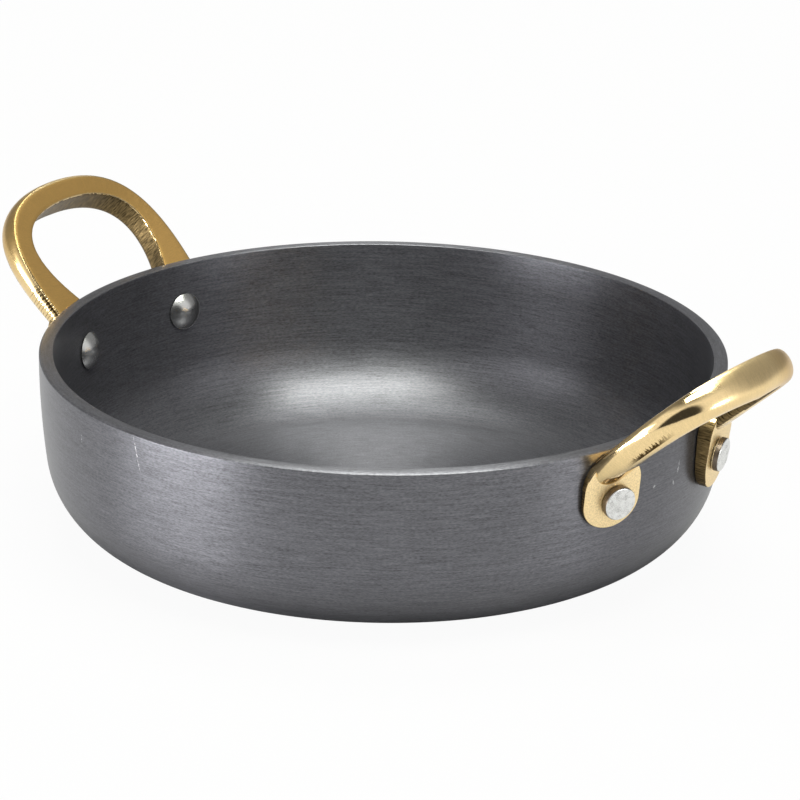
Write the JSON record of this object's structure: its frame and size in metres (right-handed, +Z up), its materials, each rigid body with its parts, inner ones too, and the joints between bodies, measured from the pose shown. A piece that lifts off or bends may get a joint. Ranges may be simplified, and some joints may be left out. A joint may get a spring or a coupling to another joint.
{
  "type": "mini casserole dish",
  "caption": "Small round bowed pan of hard-anodised aluminium for cooking and serving, with an inclined cast brass loop handle riveted to each side.",
  "frame": {"origin": "middle of the flat base, on the surface it rests on", "axes": "+Z up out of the pan, +X through the right handle, +Y to the back"},
  "size_m": [0.1912, 0.146, 0.0576],
  "materials": {
    "pan": "spun, lightly brushed round and hard-anodised dark grey",
    "handle": "cast, filed and polished, satin on the flat top",
    "rivet": "bright, with a polished domed head and a hammered tail"
  },
  "bodies": {
    "root": {"pan_body": "pan", "right_handle": "handle", "left_handle": "handle", "right_front_rivet": "rivet", "right_back_rivet": "rivet", "left_front_rivet": "rivet", "left_back_rivet": "rivet"}
  },
  "joints": []
}
